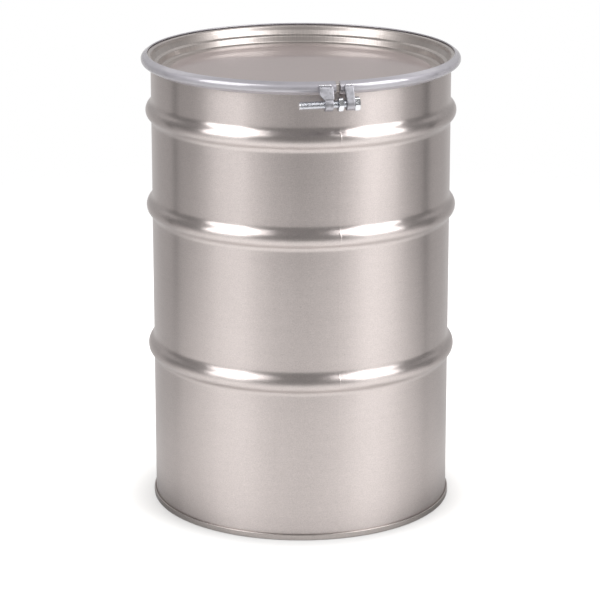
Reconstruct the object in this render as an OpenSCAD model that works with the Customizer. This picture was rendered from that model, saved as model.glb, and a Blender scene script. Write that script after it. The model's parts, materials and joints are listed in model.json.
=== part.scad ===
// Open-head 55 US gallon stainless steel drum with a bolted closing ring.
// Millimetres. The drum stands on Z = 0, its axis is the Z axis and its front faces -Y.

/* [Body] */
// Inside diameter of the rolled body
inside_d = 571.5; // [568:0.5:575]
// Thickness of the body and bottom sheet
sheet_t = 1.2; // [1:0.1:1.2]
// Height of the closed drum over its ring
overall_h = 884; // [870:1:900]
// Heights of the three rolled beads
bead_z = [308, 587, 773]; // [290:1:790]
// How far a bead stands out from the body
bead_h = 11; // [9:0.5:11]
// Slope of a bead's flanks away from the vertical, in degrees
bead_slope = 42; // [40:1:44]
// Outside radius of a bead's crest
bead_crest_r = 18; // [16:0.5:18]
// Outside radius where a bead runs into the body
bead_foot_r = 16; // [12:0.5:16]
// Diameter of the hollow curl around the open top
curl_d = 11.5; // [11:0.1:11.5]

/* [Bottom] */
// Height of the double seam around the bottom
seam_h = 11; // [10:0.5:13]
// Height of the bottom head's underside above the floor
bottom_rise = 18.8; // [15:0.2:25]
// Radius of the bottom head's raised centre
bottom_pad_r = 236; // [200:1:250]

/* [Side seam] */
// Azimuth of the body's welded seam, in degrees to the right of the front
side_seam_azimuth = 14.2; // [13:0.1:40]
// Width of the weld
side_seam_w = 4; // [2:0.5:6]

/* [Cover] */
// Thickness of the cover sheet
cover_t = 1.5; // [1.2:0.1:1.5]
// Depth of the cover's ledge below the top of the drum
ledge_drop = 21.7; // [20:0.1:23]
// Depth of the cover's outer trough below the top of the drum
trough_drop = 35.2; // [33:0.1:38]
// Outside radius of the cover's central panel
panel_r = 249; // [240:1:252]
// Uncompressed height left for the gasket
gasket_h = 4.75; // [4.5:0.05:4.75]

/* [Closing ring] */
// Thickness of the ring's strip
ring_t = 2.7; // [2.5:0.1:2.7]
// Outside radius of the ring
ring_r = 305.5; // [305.5:0.5:306]
// Height of the ring over both legs
ring_h = 24.8; // [24.8:0.1:25.2]
// Gap between the ring's two ends
ring_gap = 8; // [4:0.5:12]
// Azimuth of that gap, in degrees to the right of the front
lug_azimuth = 12.9; // [0:0.1:12.9]

/* [Lugs and bolt] */
// Distance of the bolt from the drum's axis
bolt_r = 313.5; // [313.5:0.5:315]
// Height of the bolt
bolt_z = 844.6; // [843:0.1:844.6]
// Outside radius of the lugs around the bolt
lug_boss_r = 12; // [11:0.5:12]
// Thread diameter, 5/8 inch
bolt_d = 15.88; // [15.8:0.02:15.88]
// Length of the bolt under its head, 4 inches
bolt_l = 101.6; // [95:0.1:110]
// Width across flats of the bolt's head and of the jam nut
hex_af = 23.8; // [22:0.1:23.8]
// Height of the bolt's head
head_h = 10; // [8:0.5:11]
// Height of the jam nut
nut_h = 9.5; // [8:0.5:9.5]

/* [Hidden] */

$fn = 96;
arc_step = 8;       // most degrees that one chord of a rounded corner spans
touch_gap = 0.3;    // left between curved faces that meet across a joint
fold_gap = 0.1;     // left between neighbouring layers of the double seam

// Body and double seam
inner_r = inside_d / 2;
fold_r = 1.85;                          // outside radius of the seam's tight folds
foot_r = 2;                             // outside radius of the seam's resting edge
seam_floor = sheet_t + fold_gap;
body_hook_top = seam_h - sheet_t - 0.9;
head_hook_end = 5.2;
head_fold_r = 4;
wall_low = seam_h + 3;                  // the welded seam shows from here
wall_high = overall_h - 26;             // up to here

// Closure, from the top of the ring down to the body's curl
cover_top = overall_h - 3.7;
gasket_top = cover_top - cover_t;
curl_top = gasket_top - gasket_h - touch_gap;
curl_bend_r = curl_d / 2 - 0.05;
curl_end_r = inner_r + 3.8;
cover_skirt_r = inner_r + curl_d + 2.05;
cover_skirt_low = curl_top - 5.2;
cover_mouth_r = inner_r + 1.05;
ledge_z = overall_h - ledge_drop;
trough_z = overall_h - trough_drop;
panel_z = trough_z + 1.2;
ring_low = overall_h - ring_h;
ring_bend_r = 9;

// Lugs, bolt and nut, along the bolt from the middle of the ring's gap. The head is at the + end.
plain_lug_x = [11.8, 26.3];
threaded_lug_x = [-28.5, -13.5];
threaded_saddle_x = [-37, -11.5];
lug_top = overall_h - 7;
lug_plate_t = 6.5;
weld_w = 2.5;
weld_h = 3.4;
weld_gap = 0.1;     // left between the ring and what is welded to the end that opens
head_x = plain_lug_x[1] + 0.1;
nut_x = -4;
plain_bore_r = bolt_d / 2 + 0.8;
threaded_bore_r = bolt_d / 2 + 0.06;

// ---- Outlines: a path is a list of [radius, height, corner radius] ----

function xy(p) = [p[0], p[1]];
function unit(a, b) = (b - a) / norm(b - a);
function right_of(v) = [v[1], -v[0]];
function reversed(list) = [for (i = [len(list) - 1:-1:0]) list[i]];

// Points on a circle about c, between two angles
function arc(c, r, from, to) =
    let (steps = max(2, ceil(abs(to - from) / arc_step)))
    [for (k = [0:steps]) let (a = from + (to - from) * k / steps) c + r * [cos(a), sin(a)]];

function direction(v) = atan2(v[1], v[0]);

// The points of a rounded corner at b, on the way from a to c
function corner(a, b, c, r) =
    let (u = unit(a, b), v = unit(b, c), turn = acos(u * v), side = sign(cross(u, v)),
        start = b - u * r * tan(turn / 2), centre = start - side * r * right_of(u),
        from = direction(start - centre))
    arc(centre, r, from, from + side * turn);

function rounded(path) = [for (i = [0:len(path) - 1])
    let (inside = i > 0 && i < len(path) - 1 && path[i][2] > 0)
    each inside ? corner(xy(path[i - 1]), xy(path[i]), xy(path[i + 1]), path[i][2]) : [xy(path[i])]];

// The same path moved to its right by t, with its bends kept concentric
function shifted(path, t) = [for (i = [0:len(path) - 1])
    let (p = xy(path[i]), last = len(path) - 1,
        u = i > 0 ? unit(xy(path[i - 1]), p) : unit(p, xy(path[1])),
        v = i < last ? unit(p, xy(path[i + 1])) : u,
        miter = (right_of(u) + right_of(v)) / (1 + u * v), turn = cross(u, v))
    [p[0] + t * miter[0], p[1] + t * miter[1], path[i][2] + (turn > 0 ? t : turn < 0 ? -t : 0)]];

// Cross-section of a sheet of thickness t that lies to the right of the path
module sheet(path, t) {
    polygon(concat(rounded(path), reversed(rounded(shifted(path, t)))));
}

// ---- Paths ----

// Inner face of the k-th layer of the double seam, counted outwards from the body's wall
function layer_r(k) = inner_r + k * (sheet_t + fold_gap);

// The three corners of each bead, on the inside of the wall
function bead_path() =
    let (rise = bead_h + bead_crest_r * (1 / cos(bead_slope) - 1)
            + sheet_t * (1 - 1 / cos(bead_slope)),
        half = rise / tan(bead_slope))
    [for (z = bead_z) each [
        [inner_r, z - half, bead_foot_r + sheet_t],
        [inner_r + rise, z, bead_crest_r - sheet_t],
        [inner_r, z + half, bead_foot_r + sheet_t]]];

function body_path() = concat(
    [[layer_r(2) + sheet_t, body_hook_top, 0],
        [layer_r(2) + sheet_t, seam_floor, fold_r],
        [inner_r, seam_floor, fold_r]],
    bead_path(),
    [[inner_r, curl_top, curl_bend_r],
        [inner_r + curl_d, curl_top, curl_bend_r],
        [inner_r + curl_d, curl_top - curl_d, curl_bend_r],
        [curl_end_r, curl_top - curl_d, 0]]);

function bottom_path() = [
    [layer_r(1), head_hook_end, 0],
    [layer_r(1), seam_h, fold_r],
    [layer_r(3) + sheet_t, seam_h, fold_r],
    [layer_r(3) + sheet_t, 0, foot_r],
    [layer_r(-1), 0, foot_r],
    [layer_r(-1), bottom_rise, head_fold_r],
    [bottom_pad_r + 10, bottom_rise, 6],
    [bottom_pad_r, bottom_rise + 3, 6],
    [0, bottom_rise + 3, 0]];

function cover_path() = [
    [cover_skirt_r, cover_skirt_low, 0],
    [cover_skirt_r, cover_top, 5.5],
    [cover_mouth_r, cover_top, 4],
    [cover_mouth_r - 2, cover_top - 8.5, 9],
    [cover_mouth_r - 7.3, ledge_z, 4],
    [cover_mouth_r - 13, ledge_z, 3.5],
    [cover_mouth_r - 16, trough_z, 4],
    [panel_r + 3, trough_z, 4],
    [panel_r, panel_z, 4],
    [0, panel_z, 0]];

function ring_path() = [
    [ring_r - 10.3, overall_h, 0],
    [ring_r, overall_h - 6.6, ring_bend_r],
    [ring_r, ring_low + 7.5, ring_bend_r],
    [ring_r - 11.5, ring_low, 0]];

// ---- Drum ----

module body_shell() {
    color([0.72, 0.70, 0.68]) rotate_extrude() sheet(body_path(), sheet_t);
}

// The weld stands a little proud of the outside of the wall and follows the beads
module side_seam_weld() {
    wall = concat([[inner_r, wall_low, 0]], bead_path(), [[inner_r, wall_high, 0]]);
    half = side_seam_w / 2 / (inner_r + sheet_t) * 180 / PI;
    color([0.80, 0.78, 0.76])
        rotate_extrude(angle = 2 * half, start = side_seam_azimuth - 90 - half)
            sheet(shifted(wall, sheet_t), 0.3);
}

module bottom_head() {
    color([0.68, 0.66, 0.64]) rotate_extrude() sheet(bottom_path(), sheet_t);
}

// Sealing compound in the pocket under the head's hook
module bottom_seam_compound() {
    color([0.25, 0.24, 0.22]) rotate_extrude()
        translate([layer_r(1), seam_floor + sheet_t + 0.4]) square([sheet_t, 2.1]);
}

// ---- Closure ----

module cover() {
    color([0.75, 0.72, 0.70]) rotate_extrude() sheet(cover_path(), -cover_t);
}

module cover_gasket() {
    low = gasket_top - gasket_h;
    in_r = inner_r + 4.3;
    out_r = cover_skirt_r - cover_t - 1.4;
    color([0.16, 0.16, 0.17]) rotate_extrude() polygon([
        [in_r, gasket_top], [out_r - 2.6, gasket_top], [out_r, gasket_top - 1.6],
        [out_r, low + 0.6], [out_r - 0.6, low], [in_r + 0.7, low], [in_r, low + 0.7]]);
}

module closing_ring() {
    half = ring_gap / 2 / ring_r * 180 / PI;
    color([0.70, 0.70, 0.73])
        rotate_extrude(angle = 360 - 2 * half, start = lug_azimuth - 90 + half)
            sheet(ring_path(), ring_t);
}

// ---- Lugs and bolt: +X runs along the bolt, and the drum's axis lies towards +Y ----

module at_lugs() {
    rotate([0, 0, lug_azimuth]) children();
}

// Along the bolt from x: a part turned about +Z becomes one turned about the bolt
module on_bolt(x) {
    translate([x, -bolt_r, bolt_z]) rotate([0, 90, 0]) children();
}

// Direction from the centre c to where a line from p touches its circle, on the + or - side
function tangent_angle(p, c, r, side) = direction(p - c) + side * acos(r / norm(p - c));

// Everything within the outside of the ring and a gap: what is welded to the ring is cut to fit it
module inside_ring(gap) {
    outline = [for (p = reversed(rounded(ring_path()))) p + [gap, 0]];
    rotate_extrude($fn = 360) polygon(concat([[0, ring_low]], outline, [[0, overall_h]]));
}

// Side view of a lug, as [distance from the drum's axis, height]: a plate with a round lower end
module lug_side() {
    c = [bolt_r, bolt_z];
    seat = ring_r - 5;
    inner = [ring_r - 0.5, lug_top - 8];
    outer = [ring_r + lug_plate_t, lug_top - 1.5];
    polygon(concat([inner, [seat, lug_top - 5], [seat, lug_top], [outer[0] - 1.5, lug_top], outer],
        arc(c, lug_boss_r, tangent_angle(outer, c, lug_boss_r, -1),
            tangent_angle(inner, c, lug_boss_r, 1) - 360)));
}

// A forged lug: its side view, cut to its front view, bored for the bolt and seated on the ring
module forged_lug(front, bore_r, gap) {
    xs = [for (p = front) p[0]];
    difference() {
        intersection() {
            rotate([90, 0, 90]) translate([0, 0, min(xs)]) linear_extrude(max(xs) - min(xs))
                mirror([1, 0]) lug_side();
            translate([0, -bolt_r + 20, 0]) rotate([90, 0, 0]) linear_extrude(40) polygon(front);
        }
        on_bolt(min(xs) - 1) cylinder(r = bore_r, h = max(xs) - min(xs) + 2);
        inside_ring(gap);
    }
}

module plain_lug() {
    low = bolt_z - lug_boss_r - 1;
    x = plain_lug_x;
    color([0.68, 0.67, 0.71]) at_lugs()
        forged_lug([[x[0], low], [x[1], low], [x[1], lug_top + 1], [x[0] - 1.5, lug_top + 1],
            [x[0], bolt_z + 8]], plain_bore_r, 0);
}

module threaded_lug() {
    low = bolt_z - lug_boss_r - 1;
    b = threaded_lug_x;
    s = threaded_saddle_x;
    waist = bolt_z + 9;
    color([0.68, 0.67, 0.71]) at_lugs() difference() {
        forged_lug([[b[0], low], [b[1], low], [b[1], waist], [s[1], waist + 3], [s[1], lug_top + 1],
            [s[0], lug_top + 1], [s[0], waist + 9], [b[0], waist]], threaded_bore_r, weld_gap);
        // the groove between the saddle and the threaded barrel
        translate([b[0] - 1, -bolt_r - lug_boss_r + 2.6, bolt_z + 10.4]) rotate([0, 90, 0])
            cylinder(r = 1.8, h = 18);
    }
}

// Fillet weld along the top edge of a lug, between the places a and b along the bolt
module lug_weld(a, b, gap) {
    from = asin(a / ring_r);
    to = asin(b / ring_r);
    difference() {
        rotate_extrude(angle = to - from, start = lug_azimuth - 90 + from) polygon([
            [ring_r - 5, lug_top], [ring_r + weld_w, lug_top], [ring_r - 5, lug_top + weld_h]]);
        inside_ring(gap);
    }
}

module plain_lug_weld() {
    color([0.78, 0.77, 0.80]) lug_weld(plain_lug_x[0], plain_lug_x[1] - 1, 0);
}

module threaded_lug_weld() {
    color([0.78, 0.77, 0.80]) lug_weld(threaded_saddle_x[0] + 1, threaded_saddle_x[1] - 1, weld_gap);
}

// A hexagon of height h whose corners are chamfered at its far end, and at its near end too
// where both is true
module chamfered_hex(h, both) {
    corner_r = hex_af / 2 / cos(30);
    cut_r = hex_af / 2 * 0.97;
    near_z = both ? 1.1 : 0;
    near_r = both ? cut_r : corner_r;
    intersection() {
        rotate([0, 0, 30]) cylinder(r = corner_r, h = h, $fn = 6);
        rotate_extrude() polygon([[0, 0], [near_r, 0], [corner_r, near_z], [corner_r, h - 1.1],
            [cut_r, h], [0, h]]);
    }
}

module ring_bolt() {
    color([0.80, 0.81, 0.84]) at_lugs() on_bolt(head_x) union() {
        chamfered_hex(head_h, false);
        translate([0, 0, 1.4 - bolt_l]) cylinder(d = bolt_d, h = bolt_l);
        translate([0, 0, -bolt_l]) cylinder(d1 = bolt_d - 2.8, d2 = bolt_d, h = 1.4);
    }
}

module jam_nut() {
    color([0.80, 0.81, 0.84]) at_lugs() on_bolt(nut_x) difference() {
        chamfered_hex(nut_h, true);
        translate([0, 0, -1]) cylinder(r = threaded_bore_r, h = nut_h + 2);
    }
}

body_shell();
side_seam_weld();
bottom_head();
bottom_seam_compound();
cover();
cover_gasket();
closing_ring();
plain_lug();
plain_lug_weld();
threaded_lug();
threaded_lug_weld();
ring_bolt();
jam_nut();
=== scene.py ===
"""An open-head stainless steel drum with a recessed cover, a bolted closing ring, its lugs, bolt and nut.

Metres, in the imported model's frame: +Z is up, the drum stands on Z = 0 and its front faces -Y.
Azimuths are in degrees from the front, positive to the right."""

import json
import math

import bmesh
import bpy
import numpy as np
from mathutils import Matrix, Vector


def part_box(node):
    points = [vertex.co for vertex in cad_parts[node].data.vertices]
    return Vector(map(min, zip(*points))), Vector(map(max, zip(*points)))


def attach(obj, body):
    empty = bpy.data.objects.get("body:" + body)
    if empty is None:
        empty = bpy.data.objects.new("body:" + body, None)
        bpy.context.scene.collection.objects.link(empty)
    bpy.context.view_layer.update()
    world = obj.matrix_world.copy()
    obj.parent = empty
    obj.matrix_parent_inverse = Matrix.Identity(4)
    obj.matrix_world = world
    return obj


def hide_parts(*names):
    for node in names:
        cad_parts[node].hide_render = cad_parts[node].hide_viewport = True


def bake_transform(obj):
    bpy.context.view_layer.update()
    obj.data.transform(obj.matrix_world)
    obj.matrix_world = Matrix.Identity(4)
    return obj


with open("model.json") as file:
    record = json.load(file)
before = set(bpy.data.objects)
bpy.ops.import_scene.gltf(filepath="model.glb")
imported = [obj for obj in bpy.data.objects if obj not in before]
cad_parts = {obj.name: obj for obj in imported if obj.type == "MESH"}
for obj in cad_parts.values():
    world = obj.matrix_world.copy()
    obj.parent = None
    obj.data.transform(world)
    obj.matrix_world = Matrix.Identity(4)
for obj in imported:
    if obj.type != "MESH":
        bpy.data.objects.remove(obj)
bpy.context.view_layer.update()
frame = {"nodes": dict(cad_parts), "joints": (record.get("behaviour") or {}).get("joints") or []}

MM = 0.001

# ---- Sizes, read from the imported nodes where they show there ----

joints = {j["name"]: j for j in frame["joints"]}
ring_low, ring_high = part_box("closing_ring")
cover_low, cover_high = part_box("cover")
body_low, body_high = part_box("body_shell")
_, head_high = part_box("bottom_head")

TOP = ring_high.z
RING_R = -ring_low.x
SHEET_T = 1.2 * MM
COVER_T = 1.5 * MM
RING_T = 2.7 * MM
INNER_R = 285.75 * MM
FOLD_GAP = 0.1 * MM
FOLD_R = 1.85 * MM
BEADS_Z = [308 * MM, 587 * MM, 773 * MM]
BEAD_H = 11 * MM
BEAD_SLOPE = math.radians(42)
BEAD_CREST_R = 18 * MM
BEAD_FOOT_R = 16 * MM
SEAM_AZIMUTH = 14.2
CURL_TOP = body_high.z
CURL_D = 11.5 * MM
SEAM_FLOOR = body_low.z
SEAM_H = 11 * MM
SEAM_SHEET = SHEET_T + FOLD_GAP
PANEL_R = 249 * MM
PANEL_RISE = 1.2 * MM
PANEL_DISH = 0.8 * MM
INNER_STEP_R = 265 * MM
LEDGE_DROP = 21.7 * MM
BOTTOM_PAD_R = 236 * MM
HALF_RING_GAP = 4 * MM
THREAD_R = 15.88 / 2 * MM
THREAD_PITCH = 25.4 / 11 * MM
THREAD_DEPTH = 0.6134 * THREAD_PITCH
BOLT_HEAD_H = 10 * MM
ACROSS_FLATS = 23.8 * MM

# The bolt runs along X turned by the lugs' azimuth; its line comes from its joint
bolt_line = joints["bolt_turn"]
ALONG = Vector(bolt_line["axis"]).normalized()
LUG_AZIMUTH = math.degrees(math.atan2(ALONG.y, ALONG.x))
OUTWARD = Vector((ALONG.y, -ALONG.x, 0))
UP = Vector((0, 0, 1))
BOLT_Z = bolt_line["pos_m"][2]
BOLT_R = Vector(bolt_line["pos_m"]).xy.dot(OUTWARD.xy)


def on_bolt(point):
    """A place in the model's frame from one along the bolt, outwards from its line and up."""
    a, b, c = point
    return ALONG * a + OUTWARD * (BOLT_R + b) + UP * (BOLT_Z + c)


def extent(node, direction):
    """The least and greatest place of a CAD node along a direction."""
    places = [v.co.dot(direction) for v in frame["nodes"][node].data.vertices]
    return min(places), max(places)


# ---- Outlines: a path is a list of (radius, height, corner radius) ----

ARC_STEP = math.radians(5)
ON_AXIS = 1e-9


def unit(a, b):
    return (b - a) / np.linalg.norm(b - a)


def right_of(v):
    return np.array([v[1], -v[0]])


def cross(u, v):
    return u[0] * v[1] - u[1] * v[0]


def arc(centre, radius, start, end):
    """Points on a circle from one angle to another."""
    steps = max(2, math.ceil(abs(end - start) / ARC_STEP))
    angles = np.linspace(start, end, steps + 1)
    return [centre + radius * np.array([math.cos(a), math.sin(a)]) for a in angles]


def corner(a, b, c, radius):
    """The points of a rounded corner at b, on the way from a to c."""
    u, v = unit(a, b), unit(b, c)
    turn = math.acos(max(-1.0, min(1.0, float(u @ v))))
    side = math.copysign(1, cross(u, v))
    start = b - u * radius * math.tan(turn / 2)
    centre = start - side * radius * right_of(u)
    first = math.atan2(*(start - centre)[::-1])
    return arc(centre, radius, first, first + side * turn)


def rounded(path):
    points = [np.array(p[:2], float) for p in path]
    found = []
    for i, p in enumerate(points):
        inside = 0 < i < len(points) - 1 and path[i][2] > 0
        found += corner(points[i - 1], p, points[i + 1], path[i][2]) if inside else [p]
    return found


def shifted(path, t):
    """The same path moved to its right by t, with its bends kept concentric."""
    points = [np.array(p[:2], float) for p in path]
    last = len(points) - 1
    found = []
    for i, p in enumerate(points):
        u = unit(points[i - 1], p) if i else unit(p, points[1])
        v = unit(p, points[i + 1]) if i < last else u
        miter = (right_of(u) + right_of(v)) / (1 + u @ v)
        bend = t * np.sign(round(cross(u, v), 9))
        found.append((*(p + t * miter), path[i][2] + bend))
    return found


def spaced(points, step):
    """The same outline with points added along its straight stretches."""
    found = [points[0]]
    for a, b in zip(points, points[1:]):
        pieces = max(1, math.ceil(np.linalg.norm(b - a) / step))
        found += [a + (b - a) * k / pieces for k in range(1, pieces + 1)]
    return found


def round_end(a, b):
    """Points that round a sheet's cut edge, from corner a to corner b, to the left of that way."""
    middle, half = (a + b) / 2, (b - a) / 2
    out = -right_of(half)
    return [middle - half * math.cos(t) + out * 0.8 * math.sin(t)
            for t in np.linspace(0.35, math.pi - 0.35, 5)]


def sheet(path, t, step=12 * MM):
    """Outline of a sheet of thickness t to the right of a path; an end that lies on the axis stays open."""
    near = spaced(rounded(path), step)
    far = spaced(rounded(shifted(path, t)), step)[::-1]
    to_axis = near[-1][0] < ON_AXIS
    start = round_end(far[-1], near[0])
    if to_axis:
        return far + start + near
    return near + round_end(near[-1], far[0]) + far + start


# ---- Meshes ----

WAVE_COUNT = 14
SEGMENTS = 256
SHARP = 32              # degrees an edge has to turn to be shaded sharp


def waves(seed, longest, shortest, height):
    """A smooth random height over space: a sum of plane waves between two wavelengths."""
    random = np.random.default_rng(seed)
    lengths = np.exp(random.uniform(math.log(shortest), math.log(longest), WAVE_COUNT))
    ways = random.normal(size=(WAVE_COUNT, 3))
    ways /= np.linalg.norm(ways, axis=1)[:, None]
    phases = random.uniform(0, 2 * math.pi, WAVE_COUNT)
    sizes = lengths / lengths.sum() * height * 2
    return lambda p: (np.sin(p @ (ways * (2 * math.pi / lengths)[:, None]).T + phases) * sizes).sum(-1)


def skin(name, points, wrap_rows=False, wrap_columns=False, caps=False, sharp=SHARP):
    """A clean mesh over a grid of points, as an object in the model's frame."""
    rows, columns = points.shape[:2]
    index = np.arange(rows * columns).reshape(rows, columns)
    i = np.arange(rows if wrap_rows else rows - 1)
    j = np.arange(columns if wrap_columns else columns - 1)
    corners = [index[np.ix_((i + a) % rows, (j + b) % columns)] for a, b in ((0, 0), (1, 0), (1, 1), (0, 1))]
    faces = np.stack(corners, -1).reshape(-1, 4).tolist()
    if caps:
        faces += [index[:, 0].tolist(), index[::-1, -1].tolist()]
    mesh = bpy.data.meshes.new(name)
    mesh.from_pydata(points.reshape(-1, 3).tolist(), [], faces)
    return finished(name, mesh, sharp)


def finished(name, mesh, sharp):
    """Welds the mesh's seams and poles, turns its faces outwards and links it as an object."""
    work = bmesh.new()
    work.from_mesh(mesh)
    bmesh.ops.remove_doubles(work, verts=work.verts, dist=0.001 * MM)
    bmesh.ops.recalc_face_normals(work, faces=work.faces)
    work.to_mesh(mesh)
    work.free()
    mesh.shade_smooth()
    mesh.set_sharp_from_angle(angle=math.radians(sharp))
    piece = bpy.data.objects.new(name, mesh)
    bpy.context.scene.collection.objects.link(piece)
    return piece


def turned(name, outline, azimuths=None, bend=None, sharp=SHARP):
    """Turns an outline about the Z axis, all round or through the given azimuths in degrees.

    bend takes the points and moves them, for what is not quite round or flat."""
    full = azimuths is None
    if full:
        azimuths = np.arange(SEGMENTS) * 360 / SEGMENTS + SEAM_AZIMUTH
    a = np.radians(azimuths)[None, :]
    rz = np.array(outline)
    points = np.stack([rz[:, :1] * np.sin(a), -rz[:, :1] * np.cos(a), rz[:, 1:] + 0 * a], -1)
    if bend:
        points = bend(points)
    closed = rz[0][0] > ON_AXIS
    return skin(name, points, wrap_rows=closed, wrap_columns=full, caps=not full, sharp=sharp)


def outwards(points, distance):
    """Moves points away from the Z axis."""
    radius = np.linalg.norm(points[..., :2], axis=-1, keepdims=True)
    moved = points.copy()
    moved[..., :2] *= 1 + distance[..., None] / np.maximum(radius, MM)
    return moved


def smooth_step(x, low, high):
    t = np.clip((x - low) / (high - low), 0, 1)
    return t * t * (3 - 2 * t)


def show(piece, body, slot, finish, *nodes):
    """Gives a piece its material and the body it rides on, and hides the CAD nodes it stands for; slot is not
    used.
    """
    piece.data.materials.append(finish)
    if body:
        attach(piece, body)
    if nodes:
        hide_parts(*nodes)
    return piece


# ---- Material helpers ----

def material(name):
    made = bpy.data.materials.new(name)
    made.use_nodes = True
    return made, made.node_tree, made.node_tree.nodes["Principled BSDF"]


def add(tree, kind, *inputs, **settings):
    """Adds a node; inputs are sockets to link or plain values, in the node's own order."""
    node = tree.nodes.new(kind)
    for key, value in settings.items():
        setattr(node, key, value)
    for place, value in zip(node.inputs, inputs):
        if isinstance(value, bpy.types.NodeSocket):
            tree.links.new(value, place)
        else:
            place.default_value = value
    return node


def calc(tree, operation, *values):
    return add(tree, "ShaderNodeMath", *values, operation=operation).outputs[0]


def remap(tree, value, low, high, to_low, to_high):
    return add(tree, "ShaderNodeMapRange", value, low, high, to_low, to_high).outputs[0]


def weighted(tree, *pairs):
    """The sum of some values, each times its own share."""
    value, share = pairs[0]
    total = calc(tree, "MULTIPLY", value, share)
    for value, share in pairs[1:]:
        total = calc(tree, "ADD", total, calc(tree, "MULTIPLY", value, share))
    return total


def noise(tree, at, scale, detail=2.0, roughness=0.5):
    made = add(tree, "ShaderNodeTexNoise", at)
    made.inputs["Scale"].default_value = scale
    made.inputs["Detail"].default_value = detail
    made.inputs["Roughness"].default_value = roughness
    return made.outputs["Fac"]


def millimetres(tree):
    """A piece's own coordinates in millimetres: the vector, and its x, y and z."""
    place = add(tree, "ShaderNodeTexCoord").outputs["Object"]
    scaled = add(tree, "ShaderNodeVectorMath", place, (1000, 1000, 1000), operation="MULTIPLY").outputs[0]
    parts = add(tree, "ShaderNodeSeparateXYZ", scaled).outputs
    return scaled, parts[0], parts[1], parts[2]


def round_axis(tree, x, y, z):
    """Lengths in mm round the Z axis and across that way, for marks that follow a turned surface."""
    angle = calc(tree, "ARCTAN2", x, calc(tree, "MULTIPLY", y, -1.0))
    radius = calc(tree, "SQRT", calc(tree, "ADD", calc(tree, "MULTIPLY", x, x), calc(tree, "MULTIPLY", y, y)))
    return calc(tree, "MULTIPLY", angle, INNER_R / MM), calc(tree, "ADD", z, radius)


def stretched(tree, s, t, along, across, detail=2.0, turn=0.0):
    """Streaks of noise about `along` by `across` mm, turned by some degrees; each turn has its own noise."""
    c, d = math.cos(math.radians(turn)), math.sin(math.radians(turn))
    u = calc(tree, "ADD", calc(tree, "MULTIPLY", s, c / along), calc(tree, "MULTIPLY", t, d / along))
    v = calc(tree, "SUBTRACT", calc(tree, "MULTIPLY", t, c / across), calc(tree, "MULTIPLY", s, d / across))
    place = add(tree, "ShaderNodeCombineXYZ", u, v, turn).outputs[0]
    return noise(tree, place, 1.0, detail)


def blended(tree, factor, dark, light):
    mix = add(tree, "ShaderNodeMix", data_type="RGBA")
    colours = [s for s in mix.inputs if s.type == "RGBA"]
    tree.links.new(factor, mix.inputs[0])
    for socket, colour in zip(colours, (dark, light)):
        if isinstance(colour, bpy.types.NodeSocket):
            tree.links.new(colour, socket)
        else:
            socket.default_value = (*colour, 1)
    return [s for s in mix.outputs if s.type == "RGBA"][0]


def scaled_colour(colour, share):
    return tuple(min(1.0, c * share) for c in colour)


def bumped(tree, shader, height, strength, distance):
    bump = add(tree, "ShaderNodeBump")
    bump.inputs["Strength"].default_value = strength
    bump.inputs["Distance"].default_value = distance
    tree.links.new(height, bump.inputs["Height"])
    tree.links.new(bump.outputs[0], shader.inputs["Normal"])


RIM_COLOUR = (0.520, 0.472, 0.448)
SPECK_SPACING = 38      # mm


def mill_steel(name, colour, roughness, anisotropic, grain_round=True, drawn_beyond=None):
    """Cold-rolled stainless sheet: rolling grain, soft cloudiness, hairline scratches and sparse specks."""
    made, tree, shader = material(name)
    place, x, y, z = millimetres(tree)
    s, t = round_axis(tree, x, y, z) if grain_round else (x, calc(tree, "ADD", y, z))
    fine = stretched(tree, s, t, 14, 0.9, 3)
    coarse = stretched(tree, s, t, 120, 9, 2)
    cloud = noise(tree, place, 0.007, 2)
    pitted = noise(tree, place, 0.55, 2)
    tone = weighted(tree, (fine, 0.28), (coarse, 0.08), (cloud, 0.10), (pitted, 0.54))
    base = blended(tree, remap(tree, tone, 0.38, 0.62, 0, 1), scaled_colour(colour, 0.90),
                   scaled_colour(colour, 1.10))
    mark = remap(tree, stretched(tree, s, t, 90, 0.55, 1, turn=3), 0.73, 0.78, 0, 1)
    base = blended(tree, calc(tree, "MULTIPLY", mark, 0.3), base, scaled_colour(colour, 1.2))
    dots = add(tree, "ShaderNodeTexVoronoi", place)
    dots.inputs["Scale"].default_value = 1 / SPECK_SPACING
    dot = remap(tree, dots.outputs["Distance"], 0.015, 0.03, 0.7, 0)
    base = blended(tree, dot, base, scaled_colour(colour, 0.45))
    rough = remap(tree, fine, 0.3, 0.7, roughness - 0.012, roughness + 0.012)
    # a little more satin lower down
    rough = calc(tree, "ADD", rough, remap(tree, z, 280, 700, 0.04, 0.0))
    rough = calc(tree, "ADD", rough, calc(tree, "MULTIPLY", mark, 0.06))
    if drawn_beyond:
        base, rough = drawn_rim(tree, (x, y, z), drawn_beyond / MM, base, rough)
        # a clear film on the cover, whose panel mirrors its surroundings faintly but crisply
        shader.inputs["Coat Weight"].default_value = 0.75
        shader.inputs["Coat Roughness"].default_value = 0.07
        shader.inputs["Coat IOR"].default_value = 1.5
    tree.links.new(base, shader.inputs["Base Color"])
    tree.links.new(rough, shader.inputs["Roughness"])
    shader.inputs["Metallic"].default_value = 1
    shader.inputs["Anisotropic"].default_value = anisotropic
    if anisotropic:
        shader.inputs["Anisotropic Rotation"].default_value = 0.25
        tangent = add(tree, "ShaderNodeTangent", direction_type="RADIAL", axis="Z")
        tree.links.new(tangent.outputs[0], shader.inputs["Tangent"])
    bumped(tree, shader, weighted(tree, (fine, 0.3), (pitted, 0.7)), 0.11, 0.05 * MM)
    return made


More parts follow.
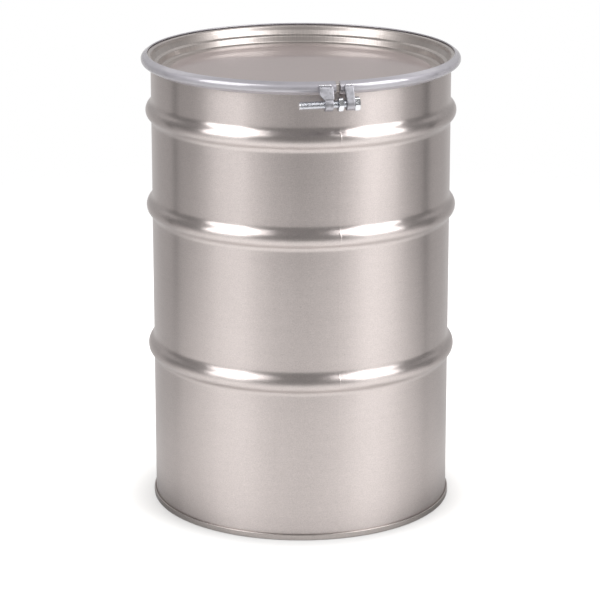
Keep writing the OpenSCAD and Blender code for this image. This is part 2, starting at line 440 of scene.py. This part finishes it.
def drawn_rim(tree, place, start, base, rough):
    """Beyond a radius the sheet was drawn in a die: streaks down its walls; the inner step is rougher and
    darkened with painted shade.
    """
    around, out = round_axis(tree, *place)
    radius = calc(tree, "SUBTRACT", out, place[2])
    drawn = remap(tree, radius, start, start + 4, 0, 1)
    step_r = INNER_STEP_R / MM
    # mask of the inner step, which is rougher and darkened with painted shade
    step = calc(tree, "MULTIPLY", drawn, remap(tree, radius, step_r, step_r - 3, 0, 1))
    streak = remap(tree, stretched(tree, around, out, 1.6, 40, 3), 0.3, 0.7, -1, 1)
    duller = calc(tree, "MULTIPLY", drawn, remap(tree, streak, -1, 1, -0.07, 0.01))
    rough = calc(tree, "ADD", rough, duller)
    rough = calc(tree, "ADD", rough, calc(tree, "MULTIPLY", step, 0.22))
    # the streaks vary the walls' own tone; the inner step is painted darker still, as painted shade
    shade = calc(tree, "SUBTRACT", remap(tree, streak, -1, 1, 1.0, 0.4), calc(tree, "MULTIPLY", step, 0.6))
    rim = blended(tree, shade, scaled_colour(RIM_COLOUR, 0.66), RIM_COLOUR)
    return blended(tree, drawn, base, rim), rough


def zinc_plate(name, colour, roughness, crystal, contrast, gloss=0.0):
    """Zinc on steel: faint crystals, a bloom of pale oxide and fine pits; gloss adds a clear passivate."""
    made, tree, shader = material(name)
    place = millimetres(tree)[0]
    cells = add(tree, "ShaderNodeTexVoronoi", place)
    cells.inputs["Scale"].default_value = 1 / crystal
    shade = add(tree, "ShaderNodeSeparateColor", cells.outputs["Color"]).outputs[0]
    bloom = noise(tree, place, 0.06, 4, 0.6)
    pits = noise(tree, place, 0.9, 3)
    tone = weighted(tree, (shade, 0.4), (bloom, 0.6))
    base = blended(tree, tone, scaled_colour(colour, 1 - contrast), scaled_colour(colour, 1 + contrast))
    tree.links.new(base, shader.inputs["Base Color"])
    rough = calc(tree, "ADD", remap(tree, shade, 0, 1, roughness - 0.05, roughness + 0.05),
                 remap(tree, bloom, 0.3, 0.7, -0.03, 0.05))
    tree.links.new(rough, shader.inputs["Roughness"])
    shader.inputs["Metallic"].default_value = 1
    shader.inputs["Coat Weight"].default_value = gloss
    shader.inputs["Coat Roughness"].default_value = 0.05
    shader.inputs["Coat IOR"].default_value = 1.9
    bumped(tree, shader, pits, 0.35, 0.08 * MM)
    return made


def rubber(name, colour, roughness):
    """Moulded rubber or cured compound: a fine matt texture with dusty patches."""
    made, tree, shader = material(name)
    place = millimetres(tree)[0]
    grain = noise(tree, place, 1.4, 3)
    dust = noise(tree, place, 0.05, 4)
    base = blended(tree, remap(tree, dust, 0.35, 0.75, 0, 1), colour, scaled_colour(colour, 1.9))
    tree.links.new(base, shader.inputs["Base Color"])
    rough = remap(tree, grain, 0.2, 0.8, roughness - 0.08, roughness + 0.08)
    tree.links.new(rough, shader.inputs["Roughness"])
    bumped(tree, shader, grain, 0.5, 0.1 * MM)
    return made


# ---- Materials ----

body_steel = mill_steel("body_steel", (0.560, 0.509, 0.495), 0.292, anisotropic=0.87)
bottom_steel = mill_steel("bottom_steel", (0.440, 0.402, 0.386), 0.30, anisotropic=0.0)
cover_steel = mill_steel("cover_steel", (0.460, 0.384, 0.376), 0.42, anisotropic=0.0, grain_round=False,
                         drawn_beyond=PANEL_R)
ring_zinc = zinc_plate("ring_zinc", (0.43, 0.415, 0.450), 0.60, crystal=6, contrast=0.05, gloss=1.0)
lug_zinc = zinc_plate("lug_zinc", (0.40, 0.395, 0.425), 0.38, crystal=4, contrast=0.30)
lug_weld_zinc = zinc_plate("lug_weld_zinc", (0.74, 0.73, 0.76), 0.28, crystal=3, contrast=0.10)
fastener_zinc = zinc_plate("fastener_zinc", (0.66, 0.67, 0.70), 0.13, crystal=5, contrast=0.04)
gasket_rubber = rubber("gasket_rubber", (0.022, 0.022, 0.024), 0.62)
seam_rubber = rubber("seam_rubber", (0.09, 0.085, 0.075), 0.7)

# ---- Drum ----


def layer_r(k):
    """Inner face of the k-th layer of the double seam, counted outwards from the body's wall."""
    return INNER_R + k * SEAM_SHEET


def bead_path():
    rise = BEAD_H + (BEAD_CREST_R - SHEET_T) * (1 / math.cos(BEAD_SLOPE) - 1)
    half = rise / math.tan(BEAD_SLOPE)
    path = []
    for z in BEADS_Z:
        path += [(INNER_R, z - half, BEAD_FOOT_R + SHEET_T),
                 (INNER_R + rise, z, BEAD_CREST_R - SHEET_T),
                 (INNER_R, z + half, BEAD_FOOT_R + SHEET_T)]
    return path


wall_waves = waves(3, 420 * MM, 110 * MM, 0.16 * MM)


def wavy_wall(points):
    """The rolled wall is not a perfect cylinder: it waves by a tenth of a millimetre or so."""
    z = points[..., 2]
    free = smooth_step(z, 25 * MM, 70 * MM) * (1 - smooth_step(z, CURL_TOP - 40 * MM, CURL_TOP - 15 * MM))
    return outwards(points, wall_waves(points) * free)


def make_body():
    bend_r = CURL_D / 2 - 0.05 * MM
    path = [(layer_r(2) + SHEET_T, SEAM_H - SHEET_T - 0.9 * MM, 0),
            (layer_r(2) + SHEET_T, SEAM_FLOOR, FOLD_R),
            (INNER_R, SEAM_FLOOR, FOLD_R)]
    path += bead_path()
    path += [(INNER_R, CURL_TOP, bend_r),
             (INNER_R + CURL_D, CURL_TOP, bend_r),
             (INNER_R + CURL_D, CURL_TOP - CURL_D, bend_r),
             (INNER_R + 3.8 * MM, CURL_TOP - CURL_D, 0)]
    return turned("drum_body", sheet(path, SHEET_T), bend=wavy_wall)


def make_side_weld():
    """The planished weld: almost flush on the flats, a little raised and rippled where it crosses a bead."""
    low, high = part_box("side_seam_weld")
    wall = [(INNER_R, low.z, 0)] + bead_path() + [(INNER_R, high.z, 0)]
    line = np.array(spaced(rounded(shifted(wall, SHEET_T)), 2.5 * MM))
    way = np.gradient(line, axis=0)
    way /= np.linalg.norm(way, axis=1)[:, None]
    normal = np.stack([way[:, 1], -way[:, 0]], -1)
    width = 3.6 * MM
    across = np.array([-1, -0.8, -0.4, 0, 0.4, 0.8, 1]) * width / 2
    proud = np.array([-0.25, 0.35, 0.85, 1, 0.85, 0.35, -0.25])
    random = np.random.default_rng(11)
    on_bead = np.clip((line[:, 0] - INNER_R - SHEET_T) / BEAD_H, 0, 1)
    ripple = np.convolve(random.uniform(0.3, 1, len(line) + 2), [0.25, 0.5, 0.25], "valid")
    height = (0.03 + 0.22 * on_bead * ripple) * MM
    edge = np.convolve(random.normal(0, 0.12, len(line) + 6), np.ones(7) / 7, "valid") * MM
    points = np.zeros((len(line), len(across), 3))
    for k, (offset, rise) in enumerate(zip(across, proud)):
        rz = line + normal * (height * rise)[:, None]
        a = math.radians(SEAM_AZIMUTH) + (offset + edge) / INNER_R
        points[:, k] = np.stack([rz[:, 0] * np.sin(a), -rz[:, 0] * np.cos(a), rz[:, 1]], -1)
    back = points[:, ::-1][:, 1:-1]
    inner = outwards(back, np.full(back.shape[:2], -0.3 * MM))
    loop = np.concatenate([points, inner], 1)
    return skin("side_seam_strip", wavy_wall(loop).transpose(1, 0, 2), wrap_rows=True, caps=True, sharp=50)


def make_bottom():
    pad_z = head_high.z
    rise = pad_z - 3 * MM
    path = [(layer_r(1), 5.2 * MM, 0),
            (layer_r(1), SEAM_H, FOLD_R),
            (layer_r(3) + SHEET_T, SEAM_H, FOLD_R),
            (layer_r(3) + SHEET_T, 0, 2 * MM),
            (layer_r(-1), 0, 2 * MM),
            (layer_r(-1), rise, 4 * MM),
            (BOTTOM_PAD_R + 10 * MM, rise, 6 * MM),
            (BOTTOM_PAD_R, pad_z, 6 * MM),
            (0, pad_z, 0)]
    pan = waves(5, 300 * MM, 90 * MM, 0.3 * MM)

    def wavy(points):
        radius = np.linalg.norm(points[..., :2], axis=-1)
        points[..., 2] += (pan(points) - 0.5 * MM) * (1 - smooth_step(radius, 150 * MM, 230 * MM))
        return points

    return turned("bottom_pan", sheet(path, SHEET_T), bend=wavy)


# ---- Closure ----

def make_cover():
    mouth = INNER_R + 1.05 * MM
    ledge = TOP - LEDGE_DROP
    trough = cover_low.z + COVER_T
    panel = trough + PANEL_RISE
    skirt_r = cover_high.x
    path = [(skirt_r, CURL_TOP - 5.2 * MM, 0),
            (skirt_r, cover_high.z, 5.5 * MM),
            (mouth, cover_high.z, 4 * MM),
            (mouth - 2 * MM, cover_high.z - 8.5 * MM, 9 * MM),
            (mouth - 7.3 * MM, ledge, 4 * MM),
            (mouth - 13 * MM, ledge, 3.5 * MM),
            (mouth - 16 * MM, trough, 4 * MM),
            (PANEL_R + 3 * MM, trough, 4 * MM),
            (PANEL_R, panel, 4 * MM),
            (0, panel, 0)]
    pan = waves(8, 380 * MM, 120 * MM, 0.35 * MM)

    def wavy(points):
        radius = np.linalg.norm(points[..., :2], axis=-1)
        inside = 1 - smooth_step(radius, 150 * MM, 245 * MM)
        points[..., 2] += (pan(points) - PANEL_DISH) * inside
        return points

    return turned("drum_cover", sheet(path, -COVER_T), bend=wavy)


def make_ring():
    """The split band, a rounded channel that waves very slightly along its length."""
    path = [(RING_R - 10.3 * MM, TOP - 0.15 * MM, 0),
            (RING_R, TOP - 6.6 * MM, 9 * MM),
            (RING_R, ring_low.z + 7.5 * MM, 9 * MM),
            (RING_R - 11.5 * MM, ring_low.z, 0)]
    half_gap = math.degrees(HALF_RING_GAP / RING_R)
    ends = np.array([half_gap, 360 - half_gap]) + LUG_AZIMUTH
    behind = LUG_AZIMUTH + 180
    coarse = np.linspace(ends[0], ends[1], 420)
    fine = np.linspace(behind - 1.2, behind + 1.2, 49)
    azimuths = np.unique(np.concatenate([coarse[np.abs(coarse - behind) > 1.25], fine]))
    bow = waves(21, 500 * MM, 160 * MM, 0.12 * MM)
    return turned("closing_band", sheet(path, RING_T, step=3 * MM), azimuths,
                  bend=lambda p: outwards(p, bow(p) - 0.13 * MM), sharp=40)


def make_gasket():
    low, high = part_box("cover_gasket")
    inside = INNER_R + 4.3 * MM
    path = [(inside, high.z, 0.4 * MM),
            (high.x - 2.6 * MM, high.z, 0.5 * MM),
            (high.x, high.z - 1.6 * MM, 1 * MM),
            (high.x, low.z, 1 * MM),
            (inside, low.z, 1 * MM)]
    closed = [path[-1]] + path + [path[0]]
    outline = []
    points = [np.array(p[:2], float) for p in closed]
    for i in range(1, len(closed) - 1):
        outline += corner(points[i - 1], points[i], points[i + 1], closed[i][2])
    return turned("gasket_ring", outline, sharp=50)


def forged(name, node):
    """A forging: the CAD node's shape with its edges worn round."""
    piece = bpy.data.objects.new(name, frame["nodes"][node].data.copy())
    bpy.context.scene.collection.objects.link(piece)
    piece.data.materials.clear()
    remesh = piece.modifiers.new("voxels", "REMESH")
    remesh.mode = "VOXEL"
    remesh.voxel_size = 0.45 * MM
    smooth = piece.modifiers.new("worn", "SMOOTH")
    smooth.factor = 0.5
    smooth.iterations = 22
    bpy.context.view_layer.update()
    done = bpy.data.meshes.new_from_object(piece.evaluated_get(bpy.context.evaluated_depsgraph_get()))
    piece.modifiers.clear()
    piece.data = done
    piece.data.name = name
    done.shade_smooth()
    return piece


def make_lug_weld(name, node, seed):
    """A short hand-laid weld: overlapping ripples along the lug's top edge."""
    low, high = extent(node, ALONG)
    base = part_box(node)[0].z
    random = np.random.default_rng(seed)
    count = 70
    places = np.linspace(low + 0.6 * MM, high - 0.6 * MM, count)
    ripple = 0.12 * np.abs(np.sin(np.linspace(0, (high - low) / (2.1 * MM) * math.pi, count)))
    ripple += np.convolve(random.uniform(-0.08, 0.08, count + 4), np.ones(5) / 5, "valid")
    ends = np.sqrt(np.clip(1 - np.linspace(-1, 1, count) ** 12, 0.02, 1))
    radii = 2.1 * MM * (0.92 + ripple) * ends
    angles = np.linspace(0, 2 * math.pi, 24, endpoint=False)
    points = np.zeros((len(angles), count, 3))
    for k, (x, radius) in enumerate(zip(places, radii)):
        azimuth = math.radians(LUG_AZIMUTH) + math.asin(x / RING_R)
        r = RING_R + 0.1 * MM + radius * np.cos(angles)
        z = base + 0.8 * MM + radius * np.sin(angles)
        points[:, k] = np.stack([r * math.sin(azimuth), -r * math.cos(azimuth), z], -1)
    return skin(name, points, wrap_rows=True, caps=True, sharp=60)


AROUND = 72
TURN = np.arange(AROUND) * 2 * math.pi / AROUND


def hex_rings(start, end, chamfer_start):
    """Rings of (place along the axis, radius) over a hexagon's sides, chamfered at its end or both ends."""
    half = ACROSS_FLATS / 2
    from_flat = (TURN + math.pi / 6) % (math.pi / 3) - math.pi / 6
    worn_corner = half / math.cos(math.pi / 6) - 0.3 * MM
    sides = np.minimum(half / np.cos(from_flat), worn_corner)
    flat_r = half * 0.97
    drop = (sides - flat_r) * math.tan(math.radians(30))
    rings = [(start, flat_r), (start + drop, sides)] if chamfer_start else [(start, sides)]
    return rings + [(end - drop, sides), (end, flat_r)]


def turned_on_bolt(name, rings, closed):
    """A mesh from rings of (place along the bolt, radius round it)."""
    points = np.zeros((len(rings), AROUND, 3))
    for k, (place, radius) in enumerate(rings):
        place, radius = np.broadcast_to(place, AROUND), np.broadcast_to(radius, AROUND)
        for n in range(AROUND):
            turn = TURN[n]
            points[k, n] = on_bolt((place[n], radius[n] * math.sin(turn), radius[n] * math.cos(turn)))
    return skin(name, points, wrap_rows=closed, wrap_columns=True, sharp=28)


def thread_radius(place, lead):
    """Radius at each step round the bolt of a thread with flat crests, sloping flanks and flat roots."""
    phase = np.abs(((place - lead) / THREAD_PITCH - TURN / (2 * math.pi) + 0.5) % 1 - 0.5)
    height = np.clip(1 - (phase - 0.14) / 0.26, 0, 1)
    return THREAD_R - THREAD_DEPTH * (1 - height)


def make_bolt():
    tip, top = extent("ring_bolt", ALONG)
    under = top - BOLT_HEAD_H
    thread_end = under - 7 * MM
    half = ACROSS_FLATS / 2
    rings = [(tip, 0.0), (tip, THREAD_R - THREAD_DEPTH - 0.1 * MM)]
    for place in np.arange(tip + 0.1 * MM, thread_end, THREAD_PITCH / 10):
        # the crests are cut back at the bolt's tip and where the thread runs out into the neck
        ramp = min(1, (place - tip) / (1.6 * MM), (thread_end - place) / (2 * MM))
        limit = THREAD_R - THREAD_DEPTH * 1.05 * (1 - max(0, ramp))
        rings.append((place, np.minimum(thread_radius(place, tip), limit)))
    neck = THREAD_R - 0.35 * MM
    rings += [(under - 6.5 * MM, neck),
              (under - 1.2 * MM, neck),
              (under - 0.4 * MM, neck + 0.25 * MM),
              (under, neck + 0.9 * MM),
              (under, half * 0.93),
              (under + 0.5 * MM, half * 0.95)]
    rings += hex_rings(under + 0.55 * MM, top, chamfer_start=False)
    rings += [(top - 0.15 * MM, half * 0.9),
              (top - 0.25 * MM, half * 0.5),
              (top - 0.25 * MM, 0.0)]
    return turned_on_bolt("threaded_bolt", rings, closed=False)


def make_nut():
    start, end = extent("jam_nut", ALONG)
    bore = 8.02 * MM
    sink = 0.9 * MM
    rings = [(start + sink, bore), (start, bore + sink)]
    rings += hex_rings(start, end, chamfer_start=True)
    rings += [(end, bore + sink), (end - sink, bore)]
    return turned_on_bolt("thin_nut", rings, closed=True)


show(make_body(), "drum", "stainless_body", body_steel, "body_shell")
show(make_side_weld(), "drum", "seam_weld", body_steel, "side_seam_weld")
show(make_bottom(), "drum", "stainless_bottom", bottom_steel, "bottom_head")
show(make_cover(), "cover", "stainless_cover", cover_steel, "cover")
show(make_gasket(), "cover", "gasket_rubber", gasket_rubber, "cover_gasket")

band = show(make_ring(), None, "galvanised_ring", ring_zinc, "closing_ring")
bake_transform(band)

show(forged("plain_lug_forging", "plain_lug"), "ring", "galvanised_lug", lug_zinc, "plain_lug")
show(forged("threaded_lug_forging", "threaded_lug"), "ring_end", "galvanised_lug", lug_zinc, "threaded_lug")
show(make_lug_weld("plain_lug_bead", "plain_lug_weld", 31), "ring", "lug_weld", lug_weld_zinc,
     "plain_lug_weld")
show(make_lug_weld("threaded_lug_bead", "threaded_lug_weld", 32), "ring_end", "lug_weld", lug_weld_zinc,
     "threaded_lug_weld")
show(make_bolt(), "bolt", "zinc_fastener", fastener_zinc, "ring_bolt")
show(make_nut(), "nut", "zinc_fastener", fastener_zinc, "jam_nut")

compound = frame["nodes"]["bottom_seam_compound"]
compound.data.materials.clear()
compound.data.materials.append(seam_rubber)

# ---- Studio ----

FLOOR_R = 2.9
FADE_R = 1.2
# the painted shadow round the drum's foot: its inner and outer radius, and how far its centre lies in front
# of the axis
SHADOW_R = (0.24, 0.36)
SHADOW_FORWARD = 0.045
PAPER = (0.90, 0.895, 0.885)
# colour of the painted shadow on the paper nearest the drum's foot
PAINTED_FOOT_SHADOW = (0.50, 0.50, 0.50)
SHINE = 2.0             # strength of the surroundings that gloss sees
MATT_LIGHT = 1.12
WHITE = (1, 1, 1, 1)


def make_floor():
    """A flat floor of pale paper whose edge fades out into the white surroundings, with a painted shadow
    round the drum's foot.
    """
    rings = np.concatenate([[0], np.geomspace(0.2, FLOOR_R, 24)])
    turns = np.linspace(0, 2 * math.pi, 97)[:-1]
    points = np.stack([rings[:, None] * np.cos(turns), rings[:, None] * np.sin(turns),
                       np.zeros((len(rings), len(turns)))], -1)
    floor = skin("studio_floor", points, wrap_columns=True)
    made, tree, shader = material("floor_paper")
    place = add(tree, "ShaderNodeTexCoord").outputs["Object"]
    distance = add(tree, "ShaderNodeVectorMath", place, operation="LENGTH").outputs["Value"]
    shader.inputs["Roughness"].default_value = 0.9
    shader.inputs["Specular IOR Level"].default_value = 0.0
    shown = add(tree, "ShaderNodeMapRange", distance, FADE_R, FLOOR_R * 0.98, 1.0, 0.0,
                interpolation_type="SMOOTHSTEP")
    depth = add(tree, "ShaderNodeSeparateXYZ", place).outputs[1]
    # gloss sees most of the paper in front of the drum, little behind, and a painted shade close round its
    # foot
    mirrored = remap(tree, depth, -0.3, 0.45, 0.74, 0.12)
    glossy = add(tree, "ShaderNodeLightPath").outputs["Is Glossy Ray"]
    painted_gloss_shade = calc(tree, "MULTIPLY", glossy, remap(tree, distance, RING_R, 0.42, 0.65, 0.0))
    painted_gloss_shade = calc(tree, "MULTIPLY", painted_gloss_shade, remap(tree, depth, -0.32, -0.12, 0.3, 1.35))
    # painted shadow: the foot's soft shadow would drown in the bright light, so the paper nearest the drum is
    # painted darker
    forward = add(tree, "ShaderNodeVectorMath", place, (0, SHADOW_FORWARD, 0), operation="ADD").outputs[0]
    foot = add(tree, "ShaderNodeVectorMath", forward, operation="LENGTH").outputs["Value"]
    seen = blended(tree, remap(tree, foot, *SHADOW_R, 0.0, 1.0), PAINTED_FOOT_SHADOW, PAPER)
    paper = blended(tree, glossy, seen, PAPER)
    tree.links.new(blended(tree, painted_gloss_shade, paper, (0, 0, 0)), shader.inputs["Base Color"])
    share = add(tree, "ShaderNodeMapRange", glossy, 0.0, 1.0, 1.0, mirrored).outputs[0]
    tree.links.new(calc(tree, "MULTIPLY", shown.outputs[0], share), shader.inputs["Alpha"])
    floor.data.materials.append(made)


def fill_ramp(node, stops):
    """Sets a ramp's stops, each a place and a grey; dividing by SHINE keeps greys above 1 in its range."""
    ramp = node.color_ramp
    ramp.interpolation = "EASE"
    while len(ramp.elements) < len(stops):
        ramp.elements.new(0.5)
    for element, (place, grey) in zip(ramp.elements, stops):
        element.position = place
        element.color = (grey / SHINE, grey / SHINE * 0.99, grey / SHINE * 0.985, 1)


def by_azimuth(stops):
    """Stops at azimuths from -180 to 180, placed from 0 to 1."""
    return [(a / 360 + 0.5, grey) for a, grey in stops]


def make_surroundings():
    """White to the eye and to matt surfaces; gloss sees a studio of pale paper, dark gaps and a dim room."""
    world = bpy.data.worlds.new("studio")
    bpy.context.scene.world = world
    world.use_nodes = True
    tree = world.node_tree
    tree.nodes.clear()
    way = add(tree, "ShaderNodeTexCoord").outputs["Generated"]
    parts = add(tree, "ShaderNodeSeparateXYZ", way).outputs
    x, y, z = parts[0], parts[1], parts[2]
    angle = calc(tree, "ARCTAN2", x, calc(tree, "MULTIPLY", y, -1.0))
    around = remap(tree, angle, -math.pi, math.pi, 0, 1)
    low = add(tree, "ShaderNodeValToRGB", around)
    fill_ramp(low, by_azimuth([
        (-180, 0.76), (-152, 0.62), (-140, 0.54), (-128, 0.52), (-116, 0.52), (-106, 0.50), (-90, 0.47),
        (-80, 0.54), (-60, 0.82), (-42, 0.98), (-30, 0.76), (-18, 0.50), (0, 0.34), (16, 0.46), (28, 0.64),
        (42, 0.96), (58, 1.20), (72, 0.96), (84, 0.64), (96, 0.50), (104, 0.46), (117, 0.54), (132, 0.54),
        (144, 0.56), (156, 0.64), (180, 0.76)]))
    # a dark gap on each side, which fades out lower down
    gaps = add(tree, "ShaderNodeValToRGB", around)
    fill_ramp(gaps, by_azimuth([(-116, 1.0), (-111, 0.08), (-106, 1.0), (104, 1.0), (111, 0.0), (117, 1.0)]))
    shallow = remap(tree, z, -0.30, -0.25, 0.0, 1.0)
    gap = blended(tree, shallow, (1 / SHINE, 1 / SHINE, 1 / SHINE), gaps.outputs[0])
    ground = add(tree, "ShaderNodeVectorMath", low.outputs[0], gap, operation="MULTIPLY").outputs[0]
    ground = add(tree, "ShaderNodeVectorMath", ground, (SHINE, SHINE, SHINE), operation="MULTIPLY").outputs[0]
    # the upper half is dim, but for pale paper behind the drum
    back = remap(tree, y, 0.42, 0.60, 0.0, 1.0)
    high = add(tree, "ShaderNodeValToRGB", z)
    fill_ramp(high, [(0.0, 0.24), (0.12, 0.24), (0.34, 0.27), (0.62, 0.30), (0.90, 0.30), (1.0, 0.40)])
    high_back = add(tree, "ShaderNodeValToRGB", z)
    fill_ramp(high_back, [(0.0, 0.48), (0.32, 0.50), (0.48, 0.60), (0.56, 1.10), (0.84, 1.10), (0.92, 0.50),
                          (1.0, 0.50)])
    upper = blended(tree, back, high.outputs[0], high_back.outputs[0])
    studio = blended(tree, remap(tree, z, -0.06, 0.06, 0.0, 1.0), ground, upper)
    lights = add(tree, "ShaderNodeLightPath").outputs
    shine = add(tree, "ShaderNodeBackground", studio, SHINE).outputs[0]
    matt = add(tree, "ShaderNodeBackground", WHITE, MATT_LIGHT).outputs[0]
    seen = add(tree, "ShaderNodeBackground", WHITE, 1.0).outputs[0]
    lit = add(tree, "ShaderNodeMixShader", lights["Is Glossy Ray"], matt, shine).outputs[0]
    whole = add(tree, "ShaderNodeMixShader", lights["Is Camera Ray"], lit, seen).outputs[0]
    add(tree, "ShaderNodeOutputWorld", whole)


def make_softbox(name, azimuth, elevation, distance, width, height, power):
    """A soft light aimed at the drum's upper half."""
    target = Vector((0, 0, 0.62))
    a, e = math.radians(azimuth), math.radians(elevation)
    way = Vector((math.sin(a) * math.cos(e), -math.cos(a) * math.cos(e), math.sin(e)))
    lamp = bpy.data.lights.new(name, "AREA")
    lamp.shape = "RECTANGLE"
    lamp.size, lamp.size_y = width, height
    lamp.energy = power
    holder = bpy.data.objects.new(name, lamp)
    holder.location = target + way * distance
    holder.rotation_mode = "QUATERNION"
    holder.rotation_quaternion = way.to_track_quat("Z", "Y")
    holder.visible_camera = False
    bpy.context.scene.collection.objects.link(holder)


CAMERA_PLACE = (0, -5.020, 1.8516)
CAMERA_TILT = 15.22     # degrees down
CAMERA_LENS = 160.35
CAMERA_SHIFT = (-0.0015, -0.08)


def make_camera():
    """A long lens in front, above the drum and tilted down."""
    camera = bpy.data.cameras.new("camera")
    camera.sensor_width = 36
    camera.lens = CAMERA_LENS
    camera.shift_x, camera.shift_y = CAMERA_SHIFT
    holder = bpy.data.objects.new("camera", camera)
    holder.location = CAMERA_PLACE
    holder.rotation_euler = (math.radians(90 - CAMERA_TILT), 0, 0)
    camera.clip_start, camera.clip_end = 0.1, 60
    bpy.context.scene.collection.objects.link(holder)
    bpy.context.scene.camera = holder


make_floor()
make_surroundings()
make_softbox("softbox_left", azimuth=-57, elevation=38, distance=2.4, width=1.4, height=2.1, power=38)
make_softbox("softbox_right", azimuth=61, elevation=38, distance=2.4, width=1.5, height=2.2, power=46)
make_camera()
bpy.context.scene.view_settings.view_transform = "Standard"
